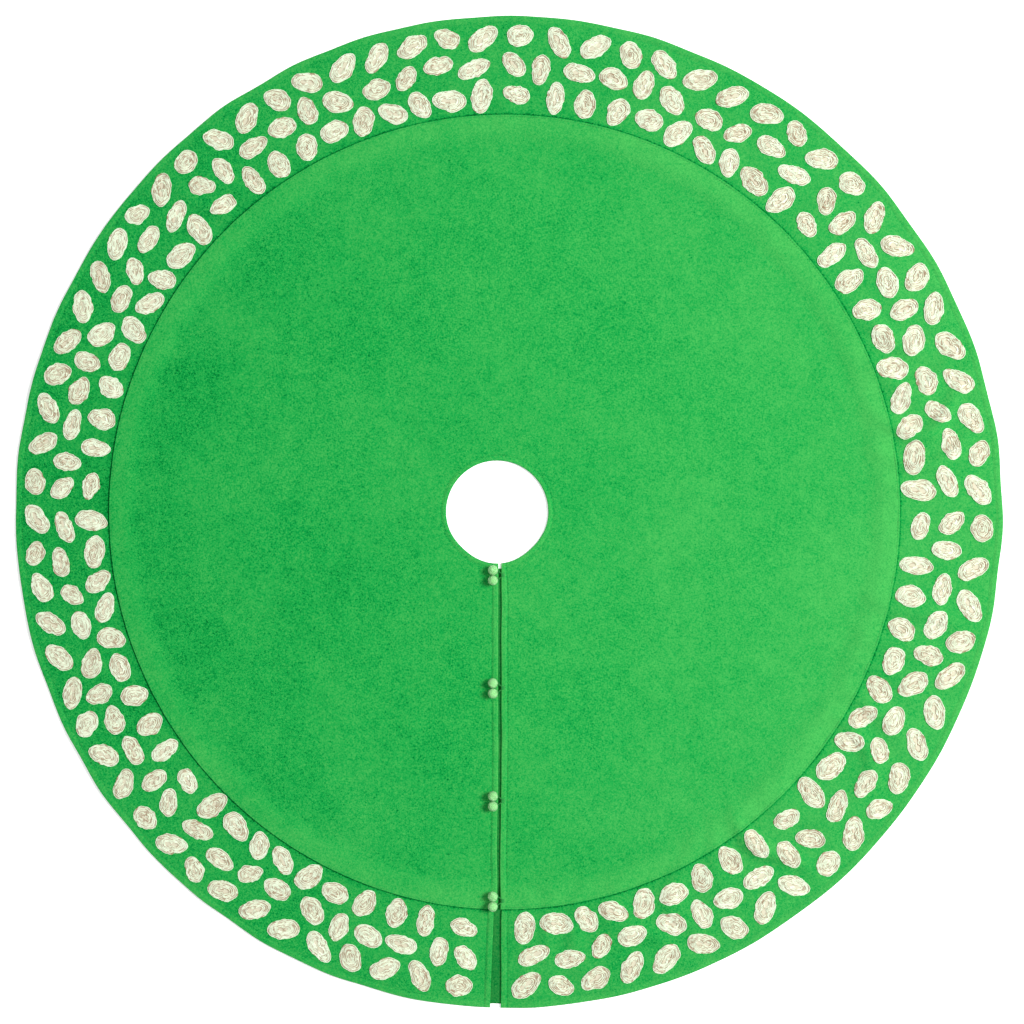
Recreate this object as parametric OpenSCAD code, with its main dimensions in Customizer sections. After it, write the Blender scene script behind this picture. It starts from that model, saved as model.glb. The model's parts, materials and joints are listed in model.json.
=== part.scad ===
// Wool felt tree skirt: a flat felt ring with a slit, a lapped border band with
// embroidered ovals, a lining, an underlap behind the slit, and felt balls with
// cord loops that hold the slit shut. It lies on the floor around the trunk, with
// the slit towards -Y. Lengths are in millimetres.
//
// The felt is cut on two lines where it bends: across the middle, where the skirt
// folds in half for storage, and beside the slit, where the flap turns back.

/* [Skirt] */
// Outside diameter of the skirt
skirt_d = 1524; // [1200:4:1600]
// Diameter of the neck opening for the trunk
neck_d = 158; // [140:2:240]
// Width of the border band
band_w = 152; // [130:1:180]
// Thickness of the felt
felt_t = 2.4; // [1.6:0.1:3.5]
// Thickness of the lining and of the underlap
lining_t = 1.2; // [0.8:0.1:2]

/* [Seams and edges] */
// Width of the band's allowance under the panel
lap_w = 22; // [12:1:30]
// Extra height of a turned edge
turn_rise = 0.7; // [0.4:0.1:1.2]
// Width of a turned edge at the slit and the hem
turn_w = 8; // [7:0.5:12]
// Width of the turned edge at the neck
neck_turn_w = 6; // [4:0.5:8]
// Thickness of the topstitch thread
thread_d = 0.6; // [0.4:0.1:1]

/* [Slit] */
// Gap between the slit edges along the panel
slit_gap = 4; // [3:0.5:8]
// How far the slit lies beside the centre line
slit_shift = 4.5; // [0:0.5:6]
// How far the band's left edge stands back from the panel's
left_step = 7; // [0:0.5:10]
// How far the left edge swings aside from the seam to the hem
left_swing = 5.5; // [0:0.5:8]
// How far the right edge swings aside from the seam to the hem
right_swing = 1; // [0:0.5:8]
// Width of the underlap behind the slit
underlap_w = 46; // [40:1:60]
// Distance from the centre line to the fold line of the flap
flap_x = 50; // [46:1:54]

/* [Closures] */
// Number of closures along the slit
closures = 4; // [2:1:4]
// Spacing of the closures, but for the last, which sits by the seam
closure_pitch = 173; // [120:1:180]
// Diameter of a felt ball
ball_d = 15; // [12:0.5:15.5]
// Length of the thread shank under a ball
shank_l = 2.4; // [2:0.1:4]
// Diameter of the loop cord
cord_d = 1.8; // [1.2:0.1:2]

/* [Embroidery] */
// Repeats of the embroidery around the band
repeats = 8; // [6:1:10]
// Ovals in each row of a repeat
row_ovals = 10; // [8:1:11]
// Length of an oval
oval_l = 49; // [40:1:52]
// Width of an oval
oval_w = 31; // [24:1:33]
// Height of an oval above the band
oval_h = 1.5; // [0.8:0.1:2.5]
// Bare felt left between two ovals
oval_gap = 8; // [4:0.5:10]

/* [Hidden] */

$fn = 96;
c = 0.1;                                // clearance between layers
e = 1;                                  // overrun of cutting shapes
hem_r = skirt_d / 2;
neck_r = neck_d / 2;
seam_r = hem_r - band_w;
felt_z = lining_t + c;                  // underside of the felt
top_z = felt_z + felt_t;                // upper face of the felt
turn_z = top_z + turn_rise;             // top of a turned edge
rim_z = top_z + c + felt_t;             // top of the panel's rim over the band
rim_in = seam_r - lap_w - 3;            // where the rim's top starts
rim_foot = rim_in - 11;                 // where the panel starts to rise
slit_l = slit_shift - slit_gap / 2;     // left edge of the slit
slit_r = slit_shift + slit_gap / 2;     // right edge of the slit
ball_x = slit_l - ball_d / 2;
ball_flat = 0.4;                        // flat where a ball meets its shank
ball_pitch = ball_d + 0.5;              // spacing of the two balls of a closure
stitch_h = 0.4;                         // height of a topstitch above the felt
loop_x = slit_r + 2;                    // the loops swing about this line
loop_reach = 25.4;                      // from that line to the far side of a loop
loop_half = ball_pitch / 2 + ball_d / 2 + 0.8 + cord_d / 2;
loop_z = cord_d / 2 + stitch_h + 0.05;  // centre of a loop's cord above its closure
loop_bend = 5;
back_c = "seagreen";
felt_c = "mediumseagreen";
band_c = "seagreen";
ball_c = "lightgreen";
oval_c = "beige";

// ---------- zones ----------

// Place of a slit edge at distance y from the centre; side is -1 left, 1 right.
function edge_x(side, y) = let(share = max(0, y - seam_r) / band_w) side < 0
  ? slit_l - (y > seam_r ? left_step : 0) - left_swing * share
  : slit_r - right_swing * share;

// A strip beside a slit edge, between two offsets and two distances.
module edge_strip(side, near, far, y0, y1)
  polygon([[edge_x(side, y0) + side * near, -y0], [edge_x(side, y1) + side * near, -y1],
           [edge_x(side, y1) + side * far, -y1], [edge_x(side, y0) + side * far, -y0]]);

module back_zone()
  translate([-hem_r - e, 0]) square([2 * hem_r + 2 * e, hem_r + e]);

module slit_and_flap()
  polygon([[slit_l, e], [slit_l, -seam_r], [edge_x(-1, seam_r + c), -seam_r - c],
           [edge_x(-1, hem_r + e), -hem_r - e], [flap_x + c / 2, -hem_r - e],
           [flap_x + c / 2, e]]);

module front_zone() difference() {
  translate([-hem_r - e, -hem_r - e]) square([2 * hem_r + 2 * e, hem_r + e - c]);
  slit_and_flap();
}

module flap_zone()
  polygon([[slit_r, -neck_r / 2], [slit_r, -seam_r], [edge_x(1, hem_r + e), -hem_r - e],
           [flap_x - c / 2, -hem_r - e], [flap_x - c / 2, -neck_r / 2]]);

module zone(part) {
  if (part == "back") back_zone();
  if (part == "front") front_zone();
  if (part == "flap") flap_zone();
}

// A turned profile, cut to one zone.
module ring_part(part, h = 12) intersection() {
  rotate_extrude() children();
  translate([0, 0, -e]) linear_extrude(h) zone(part);
}

// ---------- felt ----------

module lining_shape() translate([neck_r, 0]) square([hem_r - 3 - neck_r, lining_t]);

module panel_shape() polygon([
  [neck_r, felt_z], [rim_foot + 4, felt_z], [seam_r - lap_w - 1, top_z + c],
  [seam_r, top_z + c], [seam_r, rim_z], [rim_in, rim_z], [rim_foot, top_z],
  [neck_r + neck_turn_w, top_z], [neck_r + neck_turn_w, turn_z], [neck_r, turn_z]]);

module band_shape() polygon([
  [seam_r - lap_w, felt_z], [hem_r, felt_z], [hem_r, turn_z],
  [hem_r - turn_w, turn_z], [hem_r - turn_w, top_z], [seam_r - lap_w, top_z]]);

// The turned edge beside the slit, between two radii. The strip starts inside the
// felt and stops inside the hem's own turn, so that no faces but its top coincide.
module slit_turn(side, y0, y1, r0, r1) intersection() {
  translate([0, 0, felt_z + 0.6]) linear_extrude(turn_z - felt_z - 0.6)
    edge_strip(side, 0, turn_w, y0, y1);
  difference() {
    cylinder(r = r1, h = turn_z + e);
    translate([0, 0, -e]) cylinder(r = r0, h = turn_z + 3 * e);
  }
}

module underlap_room()
  translate([slit_shift - 1.5 - underlap_w / 2 - 1.5, -hem_r - e, -e])
    cube([underlap_w + 3, hem_r, lining_t + 2 * e]);

module lining(part) color(back_c) difference() {
  ring_part(part) lining_shape();
  if (part != "back") underlap_room();
}

module panel(part) color(felt_c) {
  ring_part(part) panel_shape();
  if (part == "front") slit_turn(-1, neck_r / 2, rim_foot + e, neck_r + 2, rim_foot);
  if (part == "flap") slit_turn(1, neck_r / 2, rim_foot + e, neck_r + 2, rim_foot);
}

module band(part) color(band_c) {
  ring_part(part) band_shape();
  if (part == "front") slit_turn(-1, seam_r + 2, hem_r, seam_r, hem_r - 3);
  if (part == "flap") slit_turn(1, seam_r + 2, hem_r, seam_r, hem_r - 3);
}

module underlap() color(back_c)
  translate([slit_shift - 1.5 - underlap_w / 2, -hem_r + 6, 0])
    cube([underlap_w, hem_r - neck_r - 14, lining_t]);

// ---------- topstitching ----------

// The rings of stitches stop at the turned edges of the slit.
module stitch_ring(part, r, z) color(band_c) difference() {
  ring_part(part) translate([r - thread_d / 2, z]) square([thread_d, stitch_h]);
  if (part != "back") translate([0, 0, felt_z]) linear_extrude(turn_z) for (side = [-1, 1]) {
    edge_strip(side, -e, turn_w + c, neck_r / 2, seam_r - lap_w - turn_w);
    edge_strip(side, -e, turn_w + c, seam_r + c, hem_r + e);
  }
}

module neck_stitch(part) stitch_ring(part, neck_r + neck_turn_w + 2.5, top_z);
module seam_stitch(part) stitch_ring(part, seam_r - 3, rim_z);
module hem_stitch(part) stitch_ring(part, hem_r - turn_w - 2.5, top_z);

module slit_stitch(side) color(band_c) translate([0, 0, top_z]) linear_extrude(stitch_h) {
  edge_strip(side, turn_w + 1.5, turn_w + 1.5 + thread_d,
             neck_r + neck_turn_w + 5, rim_foot - 4);
  edge_strip(side, turn_w + 1.5, turn_w + 1.5 + thread_d,
             seam_r + 4, hem_r - turn_w - 5);
}

// ---------- embroidery ----------
// One repeat is laid out flat: s runs along the band and t from the seam to the hem.
// An oval is [s, t, turn, half length, half width]. The ovals start in staggered
// rows, and then push each other apart until the felt between them is even.

oval_rows = 3;
first_deg = -90 + 1.6;                   // the repeats start at the slit's right edge
pattern_deg = 360 - 3.55;                // and stop at its left edge
repeat_deg = pattern_deg / repeats;
mid_r = seam_r + band_w / 2;
repeat_l = mid_r * repeat_deg * PI / 180;
seam_margin = 5;
hem_margin = turn_w + 5;
wall_wave = 5;                           // the repeats interlock on a wavy line
settle_rounds = 40;

function chance(n, k) = let(v = sin(n * 127.1 + k * 311.7 + 17) * 43758.55) v - floor(v);

start_ovals = [for (j = [0 : oval_rows - 1]) for (i = [0 : row_ovals - 1])
  let(n = j * row_ovals + i) [
    (i + 0.5 + 0.4 * (j % 2 - 0.5) + 0.3 * (chance(n, 1) - 0.5)) * repeat_l / row_ovals,
    (j + 0.5) * band_w / oval_rows + 12 * (chance(n, 2) - 0.5),
    180 * chance(n, 3),
    oval_l / 2 * (0.84 + 0.26 * chance(n, 4)),
    oval_w / 2 * (0.86 + 0.24 * chance(n, 5))]];

function tips(o) = [for (k = [-1, 1])
  [o[0] + k * (o[3] - o[4]) * cos(o[2]), o[1] + k * (o[3] - o[4]) * sin(o[2])]];

// Push on the tip p of one oval by a tip t of another, and by the bounds.
function push_off(p, need, t) = let(d = p - t, m = norm(d))
  m < need ? d * ((need - m) / (m + 0.01)) : [0, 0];
function sum(pushes) = [for (x = pushes) 1] * pushes;
function bounds_push(p, w) = let(v = wall_wave * sin(p[1] * 360 / band_w)) [
  max(0, w + oval_gap / 2 + v - p[0]) - max(0, p[0] - repeat_l + w + oval_gap / 2 - v),
  max(0, w + seam_margin - p[1]) - max(0, p[1] - band_w + w + hem_margin)];

function force(P, T, i, k) = let(p = T[i][k], w = P[i][4])
  sum(concat([2 * bounds_push(p, w)],
    [for (j = [0 : len(P) - 1]) if (j != i && abs(P[j][0] - P[i][0]) < 2 * oval_l)
      let(need = w + P[j][4] + oval_gap) push_off(p, need, T[j][0]) + push_off(p, need, T[j][1])]));

function settle_once(P) = let(T = [for (o = P) tips(o)])
  [for (i = [0 : len(P) - 1]) let(
    o = P[i], f0 = force(P, T, i, 0), f1 = force(P, T, i, 1), move = (f0 + f1) * 0.2,
    twist = ((f1 - f0) * [-sin(o[2]), cos(o[2])]) * 0.2 / (2 * (o[3] - o[4]) + 4) * 180 / PI)
    [o[0] + move[0], o[1] + move[1], o[2] + twist, o[3], o[4]]];

function settle(P, n) = n == 0 ? P : settle(settle_once(P), n - 1);

// Outline of an oval on the band: slightly egg-shaped, and never quite even.
outline_n = 16;
function outline(o, n, rep) = let(
  a = first_deg + (rep + o[0] / repeat_l) * repeat_deg, r = seam_r + o[1],
  egg = 0.1 * (chance(n, 6) - 0.5), lump = 360 * chance(n, 7))
  [for (k = [0 : outline_n - 1]) let(
    q = 360 * k / outline_n,
    m = (1 + egg * cos(q) + 0.025 * sin(3 * q + lump)) / norm([cos(q) / o[3], sin(q) / o[4]]),
    u = m * cos(q + o[2]), v = m * sin(q + o[2]))
    [r * cos(a) - u * sin(a) + v * cos(a), r * sin(a) + u * cos(a) + v * sin(a)]];

// Draws the share of an oval that lies in one zone; slivers are left off.
module oval_part(pts, part) {
  xs = [for (p = pts) p[0]];
  ys = [for (p = pts) p[1]];
  right = min(xs) > slit_shift - 8;
  by_flap = max(ys) < -seam_r && right && min(xs) < flap_x - 1.5;
  if (part == "back" && max(ys) > 1.5) whole_or_cut(pts, part, min(ys) > 0);
  if (part == "front" && min(ys) < -1.5 && !(by_flap && max(xs) < flap_x + 1.5))
    whole_or_cut(pts, part, max(ys) < -c && !by_flap);
  if (part == "flap" && by_flap) whole_or_cut(pts, part, max(xs) < flap_x - c);
}

module whole_or_cut(pts, part, whole) translate([0, 0, top_z]) linear_extrude(oval_h)
  if (whole) polygon(pts);
  else intersection() { polygon(pts); zone(part); }

module ovals(part) {
  settled = settle(start_ovals, settle_rounds);
  color(oval_c) for (rep = [0 : repeats - 1]) for (n = [0 : len(settled) - 1])
    oval_part(outline(settled[n], n, rep), part);
}

// ---------- closures ----------

function closure_y(i) = i == closures - 1
  ? -(seam_r - 14)
  : -(neck_r + loop_half + cord_d / 2 + i * closure_pitch);
function closure_z(i) = i == closures - 1 ? rim_z : turn_z;
function ball_y(n) = closure_y(floor(n / 2)) + (n % 2 == 0 ? 1 : -1) * ball_pitch / 2;

module ball(n) if (n / 2 < closures) color(ball_c)
  translate([ball_x, ball_y(n), closure_z(floor(n / 2)) + shank_l]) difference() {
    translate([0, 0, ball_d / 2 - ball_flat]) sphere(d = ball_d);
    translate([-ball_d / 2, -ball_d / 2, -ball_d]) cube([ball_d, ball_d, ball_d]);
  }

module ball_shanks() color(band_c) for (n = [0 : 2 * closures - 1])
  translate([ball_x, ball_y(n), closure_z(floor(n / 2))]) cylinder(d = 3, h = shank_l);

module cord(l) rotate([0, 90, 0]) cylinder(d = cord_d, h = l);

module cord_corner() rotate_extrude(angle = 90) translate([loop_bend, 0]) circle(d = cord_d, $fn = 32);

// A closed ring of cord; its near side lies on the line it swings about.
module cord_loop(i) if (i < closures) color(felt_c)
  translate([loop_x, closure_y(i), closure_z(i) + loop_z]) {
    straight_x = loop_reach - 2 * loop_bend;
    straight_y = 2 * (loop_half - loop_bend);
    for (s = [-1, 1]) translate([-loop_reach + loop_bend, s * loop_half, 0]) cord(straight_x);
    for (x = [-loop_reach, 0]) translate([x, -straight_y / 2, 0]) rotate([0, 0, 90]) cord(straight_y);
    for (s = [-1, 1]) for (k = [0, 1])
      translate([k ? -loop_bend : -loop_reach + loop_bend, s * (loop_half - loop_bend), 0])
        rotate([0, 0, s > 0 ? (k ? 0 : 90) : (k ? 270 : 180)]) cord_corner();
  }

// The thread tack that ties a loop to the flap, arched over the cord.
module loop_tacks() color(band_c) for (i = [0 : closures - 1])
  translate([loop_x, closure_y(i), closure_z(i)]) difference() {
    translate([-1.8, -2.5, 0]) cube([5, 5, loop_z + cord_d / 2 + 0.9]);
    translate([0, -4, loop_z]) rotate([-90, 0, 0]) cylinder(d = cord_d + 0.2, h = 8);
    translate([-cord_d / 2 - 0.1, -4, -e]) cube([cord_d + 0.2, 8, loop_z + e]);
  }

// ---------- nodes ----------

lining("back");  // lining_back
panel("back");  // panel_back
band("back");  // band_back
ovals("back");  // ovals_back
neck_stitch("back");  // neck_stitch_back
seam_stitch("back");  // seam_stitch_back
hem_stitch("back");  // hem_stitch_back
lining("front");  // lining_front
panel("front");  // panel_front
band("front");  // band_front
ovals("front");  // ovals_front
neck_stitch("front");  // neck_stitch_front
seam_stitch("front");  // seam_stitch_front
hem_stitch("front");  // hem_stitch_front
slit_stitch(-1);  // slit_stitch_left
underlap();
ball(0);  // ball_1
ball(1);  // ball_2
ball(2);  // ball_3
ball(3);  // ball_4
ball(4);  // ball_5
ball(5);  // ball_6
ball(6);  // ball_7
ball(7);  // ball_8
ball_shanks();
lining("flap");  // lining_flap
panel("flap");  // panel_flap
band("flap");  // band_flap
ovals("flap");  // ovals_flap
neck_stitch("flap");  // neck_stitch_flap
seam_stitch("flap");  // seam_stitch_flap
hem_stitch("flap");  // hem_stitch_flap
slit_stitch(1);  // slit_stitch_right
loop_tacks();
cord_loop(0);  // cord_loop_1
cord_loop(1);  // cord_loop_2
cord_loop(2);  // cord_loop_3
cord_loop(3);  // cord_loop_4
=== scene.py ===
import json
import math

import bpy
import numpy as np
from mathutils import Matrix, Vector


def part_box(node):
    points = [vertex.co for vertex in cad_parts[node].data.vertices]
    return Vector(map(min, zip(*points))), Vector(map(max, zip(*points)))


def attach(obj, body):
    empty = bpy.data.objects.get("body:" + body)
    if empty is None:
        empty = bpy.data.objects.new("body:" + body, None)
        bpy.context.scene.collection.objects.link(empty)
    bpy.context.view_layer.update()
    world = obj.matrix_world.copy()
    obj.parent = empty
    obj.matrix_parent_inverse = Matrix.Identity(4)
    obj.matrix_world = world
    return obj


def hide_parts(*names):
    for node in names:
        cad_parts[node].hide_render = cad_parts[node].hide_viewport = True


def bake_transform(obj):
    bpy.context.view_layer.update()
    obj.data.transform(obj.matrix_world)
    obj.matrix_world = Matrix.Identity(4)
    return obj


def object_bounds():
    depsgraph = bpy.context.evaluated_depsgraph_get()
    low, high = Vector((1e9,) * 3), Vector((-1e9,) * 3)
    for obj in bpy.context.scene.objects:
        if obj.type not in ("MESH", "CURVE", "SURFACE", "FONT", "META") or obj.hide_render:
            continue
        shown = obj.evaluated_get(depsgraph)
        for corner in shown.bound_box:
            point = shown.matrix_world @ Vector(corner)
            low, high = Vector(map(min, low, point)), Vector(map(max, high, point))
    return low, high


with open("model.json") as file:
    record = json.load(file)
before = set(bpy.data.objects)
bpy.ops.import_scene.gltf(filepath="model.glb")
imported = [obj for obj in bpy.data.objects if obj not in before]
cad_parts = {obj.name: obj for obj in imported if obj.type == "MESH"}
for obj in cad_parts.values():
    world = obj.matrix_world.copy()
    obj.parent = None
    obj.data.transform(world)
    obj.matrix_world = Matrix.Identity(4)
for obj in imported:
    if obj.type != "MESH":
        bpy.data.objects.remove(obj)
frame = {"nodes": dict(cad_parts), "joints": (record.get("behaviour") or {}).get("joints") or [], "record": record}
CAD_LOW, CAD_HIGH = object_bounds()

MM = 0.001
RNG = np.random.default_rng(57)

# ---------------------------------------------------------------- the frame's own sizes


def cad_points(node):
    """The points of a CAD node, as an (n, 3) array."""
    mesh = frame["nodes"][node].data
    co = np.zeros(len(mesh.vertices) * 3, np.float32)
    mesh.vertices.foreach_get("co", co)
    return co.reshape(-1, 3).astype(float)


def near_slit(node, beyond=0.0):
    """X values of a node's points close to the slit, at least a distance from the centre."""
    p = cad_points(node)
    return p[(np.abs(p[:, 0]) < 30 * MM) & (p[:, 1] < -beyond), 0]


MOUNTS = {m["name"]: m for m in frame["record"]["mounts"]}
JOINTS = {j["name"]: j for j in frame["joints"]}
NECK_R = MOUNTS["trunk_opening"]["dims"]["r_mm"] * MM
SEAM_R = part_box("panel_back")[1].x
HEM_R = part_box("band_back")[1].x
LINING_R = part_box("lining_back")[1].x
LINING_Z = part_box("lining_back")[1].z
FELT_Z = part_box("panel_back")[0].z
TOP_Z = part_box("ovals_back")[0].z
TURN_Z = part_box("band_back")[1].z
RIM_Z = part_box("panel_back")[1].z
LEFT_X = near_slit("panel_front").max()
RIGHT_X = near_slit("panel_flap").min()
LEFT_BAND_X = near_slit("band_front", SEAM_R + 0.05 * MM).max()
LEFT_HEM_X = near_slit("band_front", HEM_R - 3 * MM).max()
RIGHT_HEM_X = near_slit("band_flap", HEM_R - 3 * MM).min()
FLAP = Vector(JOINTS["flap_fold"]["pos_m"])
BAND_IN_R = SEAM_R - 22 * MM
RIM_IN_R = BAND_IN_R - 3 * MM
RIM_FOOT_R = RIM_IN_R - 11 * MM
STITCH_OFF = 1.5 * MM         # from a turned edge to the stitches beside it
TURN_W = LEFT_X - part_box("slit_stitch_left")[1].x - STITCH_OFF
NECK_TURN_W = 6 * MM
TURN_RISE = TURN_Z - TOP_Z
LAYER_GAP = 0.1 * MM
SLIT_GROOVE = TURN_W + STITCH_OFF + 0.3 * MM
NECK_GROOVE = NECK_TURN_W + 2.5 * MM
HEM_GROOVE = TURN_W + 2.5 * MM
SEAM_GROOVE = 3 * MM

# ---------------------------------------------------------------- small numeric helpers


def smooth(a, b, x):
    """Nothing at a and one at b, with a soft start and end."""
    t = np.clip((np.asarray(x, float) - a) / (b - a), 0, 1)
    return t * t * (3 - 2 * t)


def waves(x, y, length, seed, n=14):
    """Smooth noise between about -1 and 1, with features about length across."""
    rng = np.random.default_rng(seed)
    total = 0.0
    for _ in range(n):
        k = 2 * math.pi / (length * rng.uniform(0.7, 1.5))
        a = rng.uniform(0, 2 * math.pi)
        total = total + np.sin(k * (x * math.cos(a) + y * math.sin(a)) + rng.uniform(0, 6.28))
    return total / math.sqrt(n) * 0.9


def rounding(d, radius):
    """How far a surface drops near an edge of a felt sheet, at distance d from it."""
    d = np.minimum(d, radius)
    return radius - np.sqrt(np.maximum(radius**2 - (radius - d) ** 2, 0))


def ripple(a, low, high, seed, n=12):
    """Smooth noise round a circle: low to high waves in a full turn, a being the angle."""
    rng = np.random.default_rng(seed)
    total = 0.0
    for k in rng.integers(low, high, n):
        total = total + np.sin(k * a + rng.uniform(0, 2 * math.pi))
    return total / math.sqrt(n) * 0.9


WAVE_H, EDGE_WAVE_H, PUCKER_H = 1.0 * MM, 1.1 * MM, 3.6 * MM
PUCKERED_R, PUCKERED_W = SEAM_R + 45 * MM, 58 * MM     # where the puckers are tallest, their reach
NECK_PULL, HEM_PULL = 2.2 * MM, 0.9 * MM               # how far these edges are drawn inwards


def drape(x, y, z):
    """Where a point of the flat skirt comes to lie: faint waves, puckers, an uneven hem.
    The puckers are strongest on the right, and the closures hold the slit nearly flat."""
    r, a = np.hypot(x, y), np.arctan2(y, x)
    soft = np.maximum(1 + waves(x, y, 0.34, 3), 0) * smooth(0.25, 0.75, r)
    edge = np.maximum(1 + waves(x, y, 0.15, 4), 0) * smooth(0.6, 0.77, r)
    some = 0.22 + 0.78 * smooth(0.1, 0.95, np.cos(a + 0.35)) + 0.2 * ripple(a, 2, 6, 7)
    pucker = np.maximum(0.45 + ripple(a + 0.1 * waves(x, y, 0.25, 6), 28, 58, 5), 0) * some
    pucker = pucker * line(r, PUCKERED_R, PUCKERED_W)
    rise_up = WAVE_H * soft + EDGE_WAVE_H * edge + PUCKER_H * np.maximum(pucker, 0)
    rise_up = rise_up * (1 - 0.9 * (y < 0) * smooth(70 * MM, 14 * MM, np.abs(x)))
    by_slit = np.abs(np.arctan2(x, -y))
    pull = NECK_PULL * line(by_slit, 0.75, 0.4) * smooth(NECK_R + 60 * MM, NECK_R, r)
    pull = pull + HEM_PULL * (1 + ripple(a, 12, 45, 9)) * smooth(SEAM_R + 40 * MM, HEM_R, r)
    out = 1 - pull / np.maximum(r, 0.05)
    return x * out, y * out, z + rise_up


def lifted(x, y):
    """How far the cloth rises off the floor at a point."""
    return float(drape(np.asarray(x, float), np.asarray(y, float), 0.0)[2])


def line(d, at, width):
    """One on a line at a distance, falling to nothing over a width."""
    return np.exp(-(((d - at) / width) ** 2))


def lumps(x, y, seed):
    """The uneven height of felt."""
    return (0.14 * waves(x, y, 0.022, seed) + 0.24 * waves(x, y, 0.055, seed + 1)) * MM


def unit(v):
    """Vectors of length one."""
    return v / np.maximum(np.linalg.norm(v, axis=-1, keepdims=True), 1e-12)


# ---------------------------------------------------------------- meshes


def build(name, verts, faces, material, rest=None, tone=None):
    """One mesh from a (n, 3) array and a (m, 4) or (m, 3) array, kept with its rest place."""
    faces = np.asarray(faces)
    sides = faces.shape[1]
    mesh = bpy.data.meshes.new(name)
    mesh.vertices.add(len(verts))
    mesh.vertices.foreach_set("co", np.asarray(verts, np.float32).ravel())
    mesh.loops.add(faces.size)
    mesh.loops.foreach_set("vertex_index", faces.astype(np.int32).ravel())
    mesh.polygons.add(len(faces))
    mesh.polygons.foreach_set("loop_start", np.arange(0, faces.size, sides, dtype=np.int32))
    mesh.polygons.foreach_set("loop_total", np.full(len(faces), sides, np.int32))
    mesh.update(calc_edges=True)
    mesh.validate()
    mesh.polygons.foreach_set("use_smooth", np.ones(len(mesh.polygons), bool))
    place = mesh.attributes.new("rest", "FLOAT_VECTOR", "POINT")
    rest = verts if rest is None else rest
    place.data.foreach_set("vector", np.asarray(rest, np.float32).ravel())
    if tone is not None:
        shade = mesh.attributes.new("tone", "FLOAT", "POINT")
        shade.data.foreach_set("value", np.asarray(tone, np.float32))
    mesh.materials.append(material)
    obj = bpy.data.objects.new(name, mesh)
    bpy.context.scene.collection.objects.link(obj)
    return obj


def grid_faces(rows, cols, close_rows=False, close_cols=False):
    """Quads of a rows x cols grid of vertices."""
    i, j = np.meshgrid(
        np.arange(rows if close_rows else rows - 1),
        np.arange(cols if close_cols else cols - 1), indexing="ij")
    i2, j2 = (i + 1) % rows, (j + 1) % cols
    return np.stack([i * cols + j, i2 * cols + j, i2 * cols + j2, i * cols + j2], -1).reshape(-1, 4)


class Soup:
    """Collects many small shapes into one mesh."""

    def __init__(self):
        self.verts, self.faces, self.tones, self.count = [], [], [], 0

    def add(self, verts, faces, tone=0.5):
        self.verts.append(verts)
        self.faces.append(faces + self.count)
        self.tones.append(np.broadcast_to(np.asarray(tone, float), (len(verts),)))
        self.count += len(verts)

    def tube(self, path, radius, sides=4, closed=False, tone=0.5):
        """A round tube along a path; radius may be one number or one a point."""
        n = len(path)
        if closed:
            along = np.roll(path, -1, 0) - np.roll(path, 1, 0)
        else:
            along = np.gradient(path, axis=0)
        along = unit(along)
        side = unit(np.cross(along, np.array([0, 0, 1.0])) + np.array([1e-9, 0, 0]))
        up = np.cross(side, along)
        radius = np.broadcast_to(np.asarray(radius, float), (n,))[:, None, None]
        a = np.arange(sides) * 2 * math.pi / sides + math.pi / sides
        ring = path[:, None] + radius * (
            np.cos(a)[None, :, None] * side[:, None] + np.sin(a)[None, :, None] * up[:, None])
        verts = ring.reshape(-1, 3)
        faces = grid_faces(n, sides, close_rows=closed, close_cols=True)[:, [1, 2, 3, 0]]
        tone = np.repeat(np.broadcast_to(np.asarray(tone, float), (n,)), sides)
        if not closed:      # the ends close on a point
            verts = np.vstack([verts, path[:1], path[-1:]])
            k = np.arange(sides)
            first, last = n * sides, n * sides + 1
            near = np.stack([k, (k + 1) % sides, np.full(sides, first), np.full(sides, first)], 1)
            far = np.stack([(n - 1) * sides + (k + 1) % sides, (n - 1) * sides + k,
                            np.full(sides, last), np.full(sides, last)], 1)
            faces = np.vstack([faces, near, far])
            tone = np.concatenate([tone, [tone[0], tone[-1]]])
        self.add(verts, faces, tone)

    def mesh(self, name, material, slot):
        quads = np.vstack(self.faces)
        split = np.vstack([quads[:, :3], quads[quads[:, 2] != quads[:, 3]][:, [0, 2, 3]]])
        return build(name, np.vstack(self.verts), split, material,
                     tone=np.concatenate(self.tones))


# ---------------------------------------------------------------- materials


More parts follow.
